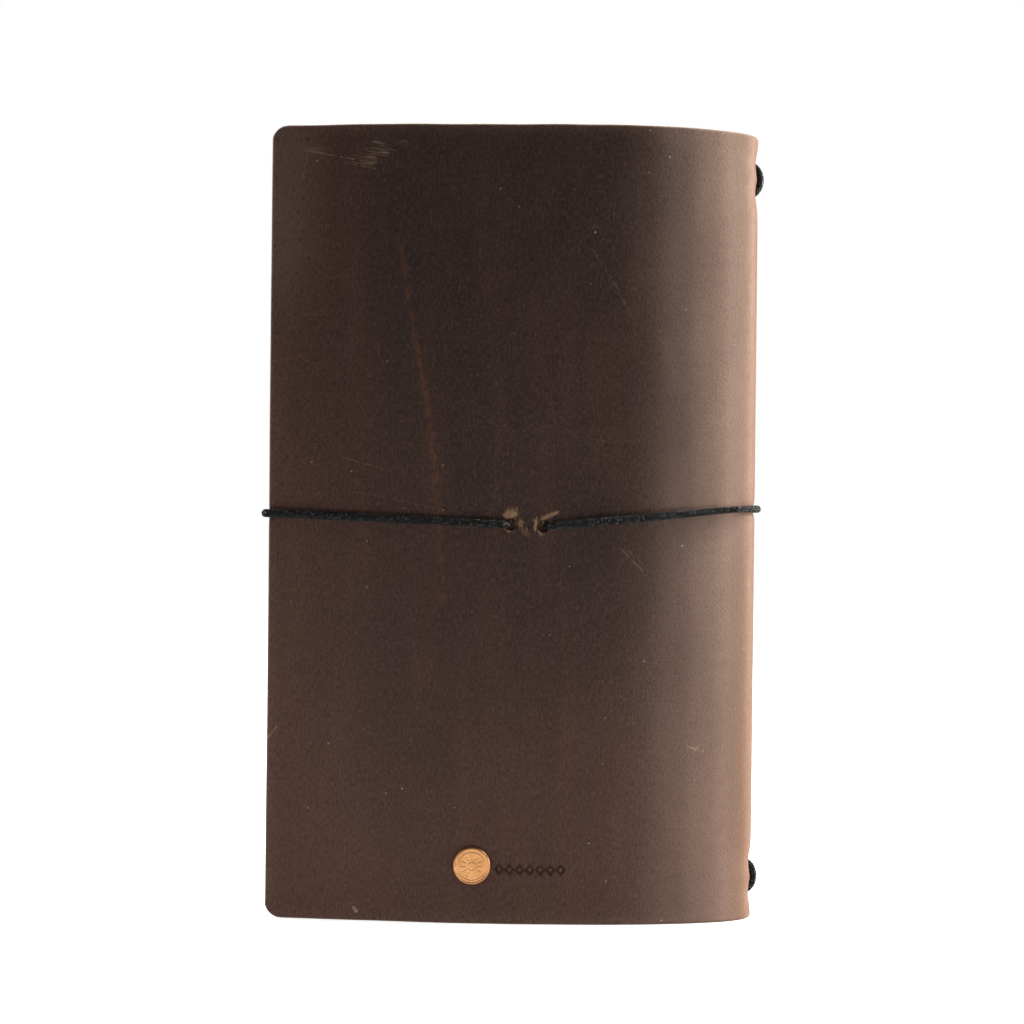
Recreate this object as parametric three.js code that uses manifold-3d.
// A leather notebook cover with two paper refills, standing on its bottom edges.
// Millimetres. +Z is the height, +X points to the spine, -Y is the back cover.
import * as THREE from "three";
import Module from "manifold-3d";
import { mergeVertices } from "three/addons/utils/BufferGeometryUtils.js";

const wasm = await Module();
wasm.setup();

// Cover
const COVER_HEIGHT = 216;
const MID_HEIGHT = COVER_HEIGHT / 2;
const FORE_EDGE_X = -66.5;
const LEATHER = 2.2;
const NOSE_RADIUS = 6.5;
const NOSE_X = 60.7;
const HINGE_DEG = 40;
const NOSE_END_DEG = 58;
const SPLIT_GAP = 0.3;
const CORNER_RADIUS = 4.5;
// Half thickness of the closed cover at stations from the nose to the fore edge.
const BULGE = [
  [61.3, 7],
  [56.8, 8.5],
  [51.3, 9.7],
  [45.8, 10.6],
  [34.7, 11.8],
  [13, 12.5],
  [-15, 12.1],
  [-40, 10.5],
  [-58, 8.8],
  [FORE_EDGE_X, 8],
];
const PANEL_STEPS = 30;

// Closure elastic
const CLOSURE_RADIUS = 1.15;
const CLOSURE_OFFSET = 1.25;
const CLOSURE_BITE_OFFSET = 0.75;
const CLOSURE_CLEARANCE = 0.12;
const CLOSURE_HOLE_RADIUS = 1.8;
const HOLE_LEAN = 0.3;
const LEFT_HOLE = { x: 0, z: MID_HEIGHT - 0.2 };
const RIGHT_HOLE = { x: 8.1, z: MID_HEIGHT - 0.5 };
const FORE_WRAP_Z = MID_HEIGHT + 2.2;
const SPINE_WRAP_Z = MID_HEIGHT + 4.4;
const RELEASE_Y = 9.3;
const FORE_SPLIT_X = -64.6;
const SPINE_SPLIT_X = 59.3;
const LOOP_GAP = 0.8;
const WRAP_CORNER_RADIUS = 1.6;
const KNOT_HALF_SIZE = [2.9, 1.45, 2.6];
const KNOT_DEPTH = 1.65;
const KNOT_TAIL_RADIUS = 1;
const KNOT_TAIL_SPREAD = 2.6;

// Binding elastic
const BINDING_RADIUS = 0.85;
const BINDING_HOLE_RADIUS = 1.15;
const STITCH_PITCH = 8;
const TOP_STITCH_Z = 204;
const BOTTOM_STITCH_Z = 11;
const STITCH_X = NOSE_X + NOSE_RADIUS + BINDING_RADIUS + 0.15;
const FOLD_RUN_X = 63.4;
const FOLD_RUN_Y = 1.7;
const OVER_EDGE = 1.3;
const BINDING_KNOT_HALF_SIZE = [1.5, 1.2, 1.15];

// Refills
const REFILL_BOTTOM = 3;
const REFILL_TOP = 213;
const REFILL_FORE_X = -65.3;
const REFILL_FOLD_X = 60.75;
const PIVOT_X = 60.9;
const PIVOT_Y = 2.08;
const REFILL_INNER_Y = 0.15;
const CARD = 0.5;
const LEAF_GAP = 0.15;
const CARD_GAP = 0.25;
const GROOVE_RADIUS = 1.42;
const FOLD_INNER_RADIUS = 0.97;
const FOLD_OUTER_RADIUS = 1.27;
const FOLD_HALF_DEG = 80;
// Half thickness of the pair of refills at stations from the fold to the fore edge.
const REFILL_BULGE = [
  [REFILL_FOLD_X, 4],
  [56.7, 5],
  [50.6, 5.9],
  [34.7, 6.6],
  [13, 7],
  [-15, 7],
  [-40, 6.3],
  [REFILL_FORE_X, 5.1],
];
const REFILL_STEPS = 22;
const STAPLE_WIRE = 0.25;
const STAPLE_LENGTH = 12;
const STAPLE_Z = [REFILL_BOTTOM + 55, REFILL_TOP - 55];
const STAPLE_REACH = 1.68;

// Rivet
const RIVET = { x: -9.95, z: 15.85 };
const RIVET_CAP_RADIUS = 5.2;
const RIVET_FACE_HEIGHT = 0.95;
const RIVET_RIM_HEIGHT = 1.15;
const RIVET_POST_RADIUS = 1.2;
const RIVET_HOLE_RADIUS = 1.5;
const RIVET_BACK_RADIUS = 4.5;
const RIVET_BACK_THICKNESS = 1.1;
const RIVET_SEAT_GAP = 0.2;

const part = new THREE.Group();
part.name = "notebook_cover";

const looks = {
  leather: { color: 0x3a2a22, roughness: 0.55 },
  elastic: { color: 0x0c0c0d, roughness: 0.8 },
  copper: { color: 0xc8703c, roughness: 0.25, metalness: 1 },
  card: { color: 0xb08a5c, roughness: 0.9 },
  paper: { color: 0xefe8d8, roughness: 0.95 },
  steel: { color: 0xb4b6b8, roughness: 0.3, metalness: 1 },
};

function add(name, geometry, look) {
  const mesh = new THREE.Mesh(geometry, new THREE.MeshStandardMaterial(looks[look]));
  mesh.name = name;
  part.add(mesh);
}

function solid(geometry) {
  const bare = geometry.index ? geometry.toNonIndexed() : geometry.clone();
  bare.deleteAttribute("normal");
  bare.deleteAttribute("uv");
  const merged = mergeVertices(bare, 1e-4);
  const mesh = new wasm.Mesh({
    numProp: 3,
    vertProperties: merged.getAttribute("position").array,
    triVerts: new Uint32Array(merged.index.array),
  });
  return new wasm.Manifold(mesh);
}

function geometryOf(manifold) {
  const mesh = manifold.getMesh();
  const geometry = new THREE.BufferGeometry();
  geometry.setAttribute("position", new THREE.BufferAttribute(mesh.vertProperties, 3));
  geometry.setIndex(new THREE.BufferAttribute(mesh.triVerts, 1));
  const facets = geometry.toNonIndexed();
  facets.computeVertexNormals();
  return facets;
}

const radians = THREE.MathUtils.degToRad;

function circlePoint(centreX, centreY, radius, degrees) {
  const angle = radians(degrees);
  const x = centreX + radius * Math.cos(angle);
  return new THREE.Vector2(x, centreY + radius * Math.sin(angle));
}

// A plan outline made into a wall between two heights.
function prism(outline, bottom, top) {
  const options = { depth: top - bottom, bevelEnabled: false };
  const geometry = new THREE.ExtrudeGeometry(new THREE.Shape(outline), options);
  return solid(geometry.translate(0, 0, bottom));
}

// A round bar along Y from y0 to y1.
function barAlongY(x, z, radius, y0, y1, sides = 24) {
  const geometry = new THREE.CylinderGeometry(radius, radius, y1 - y0, sides);
  return solid(geometry.translate(x, (y0 + y1) / 2, z));
}

// A round bar along X from x0 to x1.
function barAlongX(y, z, radius, x0, x1, sides = 20) {
  const geometry = new THREE.CylinderGeometry(radius, radius, x1 - x0, sides);
  geometry.rotateZ(Math.PI / 2);
  return solid(geometry.translate((x0 + x1) / 2, y, z));
}

function planCurve(stations) {
  const points = stations.map(([x, y]) => new THREE.Vector2(x, y));
  return new THREE.SplineCurve(points);
}

// The outer face of one cover in plan, on the +Y side, from the hinge line to the fore edge.
function coverOutline() {
  const nose = [];
  for (let angle = HINGE_DEG; angle <= NOSE_END_DEG; angle += 6) {
    const point = circlePoint(NOSE_X, 0, NOSE_RADIUS, angle);
    nose.push([point.x, point.y]);
  }
  return planCurve([...nose, ...BULGE]);
}

const cover = coverOutline();
const refill = planCurve(REFILL_BULGE);

// Distance from the middle plane to a plan curve at a given x.
function halfThickness(curve, x) {
  let low = 0;
  let high = 1;
  for (let i = 0; i < 40; i += 1) {
    const middle = (low + high) / 2;
    if (curve.getPoint(middle).x > x) low = middle;
    else high = middle;
  }
  return curve.getPoint(low).y;
}

// Points of the cover face moved outwards by an offset, from u0 to u1 along the curve.
function coverPoints(offset, u0, u1, steps) {
  const points = [];
  for (let i = 0; i <= steps; i += 1) {
    const u = u0 + ((u1 - u0) * i) / steps;
    const tangent = cover.getTangent(u);
    const outward = new THREE.Vector2(tangent.y, -tangent.x);
    points.push(cover.getPoint(u).addScaledVector(outward, offset));
  }
  return points;
}

// Corner blank that rounds the two fore-edge corners of a cover panel.
function cornerBlank(side) {
  const r = CORNER_RADIUS;
  const shape = new THREE.Shape();
  const far = NOSE_X + 2 * NOSE_RADIUS;
  shape.moveTo(FORE_EDGE_X + r, 0);
  shape.lineTo(far, 0);
  shape.lineTo(far, COVER_HEIGHT);
  shape.lineTo(FORE_EDGE_X + r, COVER_HEIGHT);
  shape.absarc(FORE_EDGE_X + r, COVER_HEIGHT - r, r, Math.PI / 2, Math.PI, false);
  shape.lineTo(FORE_EDGE_X, r);
  shape.absarc(FORE_EDGE_X + r, r, r, Math.PI, 1.5 * Math.PI, false);
  const depth = 30;
  const options = { depth, bevelEnabled: false, curveSegments: 8 };
  const geometry = new THREE.ExtrudeGeometry(shape, options).rotateX(Math.PI / 2);
  return solid(geometry.translate(0, side > 0 ? depth : 0, 0));
}

// One leather panel; side is +1 for the front cover and -1 for the back cover.
function coverPanel(side) {
  const outer = coverPoints(0, 0, 1, PANEL_STEPS);
  const inner = coverPoints(-LEATHER, 0, 1, PANEL_STEPS).reverse();
  const outline = [...outer, ...inner].map((p) => new THREE.Vector2(p.x, side * p.y));
  return prism(outline, 0, COVER_HEIGHT).intersect(cornerBlank(side));
}

function spineStrip() {
  const split = THREE.MathUtils.radToDeg(SPLIT_GAP / NOSE_RADIUS);
  const end = HINGE_DEG - split;
  const steps = 12;
  const outline = [];
  for (let i = 0; i <= steps; i += 1) {
    outline.push(circlePoint(NOSE_X, 0, NOSE_RADIUS, -end + (2 * end * i) / steps));
  }
  for (let i = steps; i >= 0; i -= 1) {
    outline.push(circlePoint(NOSE_X, 0, NOSE_RADIUS - LEATHER, -end + (2 * end * i) / steps));
  }
  return prism(outline, 0, COVER_HEIGHT);
}

// Replaces each inner corner of a path by a short curve.
function roundCorners(points, radius, steps = 4) {
  const path = [points[0]];
  for (let i = 1; i < points.length - 1; i += 1) {
    const corner = points[i];
    const reach = (other) => {
      const arm = other.clone().sub(corner);
      const length = Math.min(radius, arm.length() / 2.05);
      return corner.clone().addScaledVector(arm.normalize(), length);
    };
    const bend = new THREE.QuadraticBezierCurve3(reach(points[i - 1]), corner, reach(points[i + 1]));
    path.push(...bend.getPoints(steps));
  }
  path.push(points[points.length - 1]);
  return path;
}

// A round cord through a list of points, with flat ends, or joined up when closed.
function cord(points, radius, sides, closed = false) {
  const count = points.length;
  const at = (i) => points[closed ? (i + count) % count : THREE.MathUtils.clamp(i, 0, count - 1)];
  const tangents = points.map((_, i) => at(i + 1).clone().sub(at(i - 1)).normalize());
  let normal = new THREE.Vector3(0.31, 0.17, 0.93).cross(tangents[0]).normalize();
  const normals = tangents.map((tangent) => {
    normal = normal.clone().addScaledVector(tangent, -normal.dot(tangent)).normalize();
    return normal;
  });
  const twist = closed ? closingTwist(normals, tangents) : 0;
  const vertices = [];
  points.forEach((point, i) => {
    const side = new THREE.Vector3().crossVectors(tangents[i], normals[i]);
    for (let k = 0; k < sides; k += 1) {
      const angle = (2 * Math.PI * k) / sides + (twist * i) / count;
      const spoke = normals[i].clone().multiplyScalar(Math.cos(angle));
      spoke.addScaledVector(side, Math.sin(angle));
      vertices.push(point.clone().addScaledVector(spoke, radius));
    }
  });
  const triangles = [];
  for (let i = 0; i < (closed ? count : count - 1); i += 1) {
    const next = (i + 1) % count;
    for (let k = 0; k < sides; k += 1) {
      const a = i * sides + k;
      const b = i * sides + ((k + 1) % sides);
      const c = next * sides + ((k + 1) % sides);
      const d = next * sides + k;
      triangles.push(a, b, c, a, c, d);
    }
  }
  if (!closed) {
    for (let k = 1; k < sides - 1; k += 1) {
      const last = (count - 1) * sides;
      triangles.push(0, k + 1, k, last, last + k, last + k + 1);
    }
  }
  const geometry = new THREE.BufferGeometry().setFromPoints(vertices);
  geometry.setIndex(triangles);
  return solid(geometry);
}

// The turn that brings the last ring of a closed cord round to the first one.
function closingTwist(normals, tangents) {
  const last = normals[normals.length - 1].clone();
  last.addScaledVector(tangents[0], -last.dot(tangents[0])).normalize();
  const side = new THREE.Vector3().crossVectors(tangents[0], last);
  return Math.atan2(normals[0].dot(side), normals[0].dot(last));
}

// A point of the closure elastic on a cover face: side, x, height and distance off the leather.
function onFace(side, x, z, offset = CLOSURE_OFFSET) {
  return new THREE.Vector3(x, side * (halfThickness(cover, x) + offset), z);
}

function faceRun(side, from, to, steps) {
  const run = [];
  for (let i = 0; i <= steps; i += 1) {
    const t = i / steps;
    const x = THREE.MathUtils.lerp(from.x, to.x, t);
    run.push(onFace(side, x, THREE.MathUtils.lerp(from.z, to.z, t)));
  }
  return run;
}

// One back strand, from the inside of its hole to the split point beside the wrap.
function backStrand(hole, splitX, wrapZ) {
  const away = Math.sign(splitX - hole.x);
  const entryX = hole.x + HOLE_LEAN * away;
  const inside = onFace(-1, entryX, hole.z, -LEATHER - 0.6);
  const mouth = onFace(-1, entryX, hole.z, 0.1);
  const shoulder = onFace(-1, entryX + 0.9 * away, hole.z, 1);
  const runStart = { x: entryX + 2.4 * away, z: hole.z };
  const run = faceRun(-1, runStart, { x: splitX, z: wrapZ }, 10);
  return [inside, mouth, shoulder, ...run];
}

// The tied ends between the two holes, flat against the inside of the back cover.
function closureKnot() {
  const middleX = (LEFT_HOLE.x + RIGHT_HOLE.x) / 2;
  const y = -(halfThickness(cover, middleX) - LEATHER - KNOT_DEPTH);
  const z = MID_HEIGHT;
  const leftX = LEFT_HOLE.x - HOLE_LEAN;
  const rightX = RIGHT_HOLE.x + HOLE_LEAN;
  const bridge = [
    new THREE.Vector3(leftX, y - 0.95, LEFT_HOLE.z),
    new THREE.Vector3(leftX, y, LEFT_HOLE.z),
    new THREE.Vector3(rightX, y, RIGHT_HOLE.z),
    new THREE.Vector3(rightX, y - 0.95, RIGHT_HOLE.z),
  ];
  const lump = new THREE.SphereGeometry(1, 16, 12);
  lump.scale(...KNOT_HALF_SIZE).translate(middleX, y + 0.1, z);
  const tail = [
    new THREE.Vector3(middleX, y, z),
    new THREE.Vector3(middleX - 1.6, y, z + 4.2),
    new THREE.Vector3(middleX - 1.2, y, z + 7.5),
  ];
  const otherTail = tail.map((p) => new THREE.Vector3(p.x + KNOT_TAIL_SPREAD, p.y, p.z - 0.8));
  return cord(roundCorners(bridge, 0.9), CLOSURE_RADIUS, 8)
    .add(solid(lump))
    .add(cord(roundCorners(tail, 2), KNOT_TAIL_RADIUS, 8))
    .add(cord(roundCorners(otherTail, 2), KNOT_TAIL_RADIUS, 8));
}

// The part of the closure elastic that stays on the back cover.
function closureBackRun() {
  const left = cord(backStrand(LEFT_HOLE, FORE_SPLIT_X, FORE_WRAP_Z), CLOSURE_RADIUS, 8);
  const right = cord(backStrand(RIGHT_HOLE, SPINE_SPLIT_X, SPINE_WRAP_Z), CLOSURE_RADIUS, 8);
  return left.add(right).add(closureKnot());
}

// The wrap round the fore edge, the front strand and the wrap round the spine.
function closureLoopPath() {
  const wrapX = FORE_EDGE_X - CLOSURE_BITE_OFFSET;
  const start = FORE_SPLIT_X - LOOP_GAP;
  const fore = [
    new THREE.Vector3(start, -RELEASE_Y, FORE_WRAP_Z),
    new THREE.Vector3(wrapX, -RELEASE_Y + 0.1, FORE_WRAP_Z),
    new THREE.Vector3(wrapX, RELEASE_Y - 0.1, FORE_WRAP_Z),
    new THREE.Vector3(start, RELEASE_Y, FORE_WRAP_Z),
  ];
  const front = faceRun(
    1,
    { x: start + 4, z: FORE_WRAP_Z },
    { x: SPINE_SPLIT_X, z: SPINE_WRAP_Z },
    16,
  );
  const nose = [];
  for (let angle = 60; angle >= -60; angle -= 15) {
    const point = circlePoint(NOSE_X, 0, NOSE_RADIUS + CLOSURE_BITE_OFFSET, angle);
    nose.push(new THREE.Vector3(point.x, point.y, SPINE_WRAP_Z));
  }
  const end = new THREE.Vector3(SPINE_SPLIT_X + LOOP_GAP, -RELEASE_Y, SPINE_WRAP_Z);
  return [...roundCorners(fore, WRAP_CORNER_RADIUS), ...front, ...nose, end];
}

// The binding elastic: two outer stitches and one strand down the gutter of each refill.
function bindingPath() {
  const point = (x, y, z) => new THREE.Vector3(x, y, z);
  const half = STITCH_PITCH / 2;
  const over = REFILL_TOP + OVER_EDGE;
  const under = REFILL_BOTTOM - OVER_EDGE;
  const throat = NOSE_X + NOSE_RADIUS - LEATHER - 0.7;
  const strand = (side, topHole, bottomHole) => [
    point(STITCH_X, 0, topHole),
    point(throat, 0, topHole),
    point(FOLD_RUN_X, side * FOLD_RUN_Y, topHole + 1),
    point(FOLD_RUN_X, side * FOLD_RUN_Y, over),
    point(PIVOT_X, side * PIVOT_Y, over),
    point(PIVOT_X, side * PIVOT_Y, under),
    point(FOLD_RUN_X, side * FOLD_RUN_Y, under),
    point(FOLD_RUN_X, side * FOLD_RUN_Y, bottomHole - 1),
    point(throat, 0, bottomHole),
    point(STITCH_X, 0, bottomHole),
  ];
  const rear = strand(-1, TOP_STITCH_Z - half, BOTTOM_STITCH_Z + half);
  const front = strand(1, TOP_STITCH_Z + half, BOTTOM_STITCH_Z - half).reverse();
  const loop = [...rear, ...front];
  const opened = [loop[loop.length - 1], ...loop, loop[0]];
  return roundCorners(opened, 1.2, 3).slice(1, -1);
}

function bindingElastic() {
  const knot = new THREE.SphereGeometry(1, 14, 10);
  knot.scale(...BINDING_KNOT_HALF_SIZE);
  const knotX = (PIVOT_X + FOLD_RUN_X) / 2;
  const knotY = -(PIVOT_Y + FOLD_RUN_Y) / 2;
  knot.translate(knotX, knotY, REFILL_TOP + OVER_EDGE + 0.1);
  return cord(bindingPath(), BINDING_RADIUS, 8, true).add(solid(knot));
}

// One layer of a refill between two plan curves, given as functions of the outer face.
function layer(side, outerOf, innerOf) {
  const outer = [];
  const inner = [];
  for (let i = 0; i <= REFILL_STEPS; i += 1) {
    const station = refill.getPoint(i / REFILL_STEPS);
    outer.push(new THREE.Vector2(station.x, side * outerOf(station.y)));
    inner.push(new THREE.Vector2(station.x, side * innerOf(station.y)));
  }
  return prism([...outer, ...inner.reverse()], REFILL_BOTTOM, REFILL_TOP);
}

function addRefill(label, side) {
  const middle = (outer) => (outer + REFILL_INNER_Y) / 2;
  const groove = new THREE.CylinderGeometry(GROOVE_RADIUS, GROOVE_RADIUS, COVER_HEIGHT, 24);
  groove.rotateX(Math.PI / 2).translate(PIVOT_X, side * PIVOT_Y, MID_HEIGHT);
  const channel = solid(groove);
  const coverLayer = layer(side, (o) => o, (o) => o - CARD);
  const coverPages = layer(side, (o) => o - CARD - CARD_GAP, (o) => middle(o) + LEAF_GAP);
  const innerFace = REFILL_INNER_Y + CARD;
  const innerPages = layer(side, (o) => middle(o) - LEAF_GAP, () => innerFace + CARD_GAP);
  const innerLayer = layer(side, () => innerFace, () => REFILL_INNER_Y);
  add(`${label}_refill_cover_side_card`, geometryOf(coverLayer), "card");
  add(`${label}_refill_cover_side_pages`, geometryOf(coverPages.subtract(channel)), "paper");
  add(`${label}_refill_inner_side_pages`, geometryOf(innerPages.subtract(channel)), "paper");
  add(`${label}_refill_inner_side_card`, geometryOf(innerLayer), "card");
  addFold(label, side);
}

function addFold(label, side) {
  const steps = 12;
  const arc = (radius) => {
    const points = [];
    for (let i = 0; i <= steps; i += 1) {
      const angle = -FOLD_HALF_DEG + (2 * FOLD_HALF_DEG * i) / steps;
      points.push(circlePoint(PIVOT_X, side * PIVOT_Y, radius, angle));
    }
    return points;
  };
  const outline = [...arc(FOLD_OUTER_RADIUS), ...arc(FOLD_INNER_RADIUS).reverse()];
  let fold = prism(outline, REFILL_BOTTOM, REFILL_TOP);
  const crownX = PIVOT_X + STAPLE_REACH;
  const legX = PIVOT_X + FOLD_INNER_RADIUS + 0.05;
  STAPLE_Z.forEach((z, i) => {
    const ends = [z - STAPLE_LENGTH / 2, z + STAPLE_LENGTH / 2];
    const wire = [
      new THREE.Vector3(legX, side * PIVOT_Y, ends[0]),
      new THREE.Vector3(crownX, side * PIVOT_Y, ends[0]),
      new THREE.Vector3(crownX, side * PIVOT_Y, ends[1]),
      new THREE.Vector3(legX, side * PIVOT_Y, ends[1]),
    ];
    ends.forEach((end) => {
      const hole = barAlongX(side * PIVOT_Y, end, STAPLE_WIRE + 0.15, PIVOT_X, crownX, 8);
      fold = fold.subtract(hole);
    });
    const name = i === 0 ? "lower" : "upper";
    const staple = cord(roundCorners(wire, 0.3, 3), STAPLE_WIRE, 8);
    add(`${label}_refill_${name}_staple`, geometryOf(staple), "steel");
  });
  add(`${label}_refill_fold`, geometryOf(fold), "card");
}

// A turned solid on the rivet axis, from [radius, depth] pairs; depth 0 is the leather face.
function rivetPiece(profile) {
  const points = profile.map(([radius, depth]) => new THREE.Vector2(radius, depth));
  const turned = new THREE.LatheGeometry(points, 36);
  const face = -halfThickness(cover, RIVET.x);
  return turned.translate(RIVET.x, face, RIVET.z);
}

function rivetFaceCap() {
  const r = RIVET_CAP_RADIUS;
  return rivetPiece([
    [0, -RIVET_FACE_HEIGHT],
    [r - 0.65, -RIVET_FACE_HEIGHT],
    [r - 0.5, -RIVET_RIM_HEIGHT],
    [r - 0.2, -RIVET_RIM_HEIGHT],
    [r, -RIVET_FACE_HEIGHT],
    [r, -RIVET_SEAT_GAP],
    [RIVET_POST_RADIUS, -RIVET_SEAT_GAP],
    [RIVET_POST_RADIUS, LEATHER + 0.7],
    [0, LEATHER + 0.7],
  ]);
}

function rivetBackCap() {
  const seat = LEATHER + RIVET_SEAT_GAP;
  return rivetPiece([
    [0, LEATHER + 0.9],
    [RIVET_HOLE_RADIUS, LEATHER + 0.9],
    [RIVET_HOLE_RADIUS, seat],
    [RIVET_BACK_RADIUS, seat],
    [RIVET_BACK_RADIUS, seat + RIVET_BACK_THICKNESS - 0.4],
    [RIVET_BACK_RADIUS - 0.4, seat + RIVET_BACK_THICKNESS],
    [0, seat + RIVET_BACK_THICKNESS],
  ]);
}

// A copy of the loop, slightly thicker, that dents the leather edges where the elastic pulls.
const loopPath = closureLoopPath();
const dent = cord(loopPath, CLOSURE_RADIUS + CLOSURE_CLEARANCE, 10);
const closureHoles = [LEFT_HOLE, RIGHT_HOLE].map((hole) =>
  barAlongY(hole.x, hole.z, CLOSURE_HOLE_RADIUS, -20, 0),
);
const rivetHole = barAlongY(RIVET.x, RIVET.z, RIVET_HOLE_RADIUS, -20, 0);
const half = STITCH_PITCH / 2;
const stitchHoles = [TOP_STITCH_Z, BOTTOM_STITCH_Z]
  .flatMap((z) => [z - half, z + half])
  .map((z) => barAlongX(0, z, BINDING_HOLE_RADIUS, NOSE_X, NOSE_X + 10));

const cut = (body, tools) => tools.reduce((left, tool) => left.subtract(tool), body);
add("spine_leather", geometryOf(cut(spineStrip(), [dent, ...stitchHoles])), "leather");
add("front_cover_leather", geometryOf(cut(coverPanel(1), [dent])), "leather");
const backTools = [dent, ...closureHoles, rivetHole];
add("back_cover_leather", geometryOf(cut(coverPanel(-1), backTools)), "leather");
add("closure_elastic_back_run", geometryOf(closureBackRun()), "elastic");
add("closure_elastic_loop", geometryOf(cord(loopPath, CLOSURE_RADIUS, 8)), "elastic");
add("binding_elastic", geometryOf(bindingElastic()), "elastic");
add("rivet_face_cap", rivetFaceCap(), "copper");
add("rivet_back_cap", rivetBackCap(), "copper");
addRefill("rear", -1);
addRefill("front", 1);

export default part;
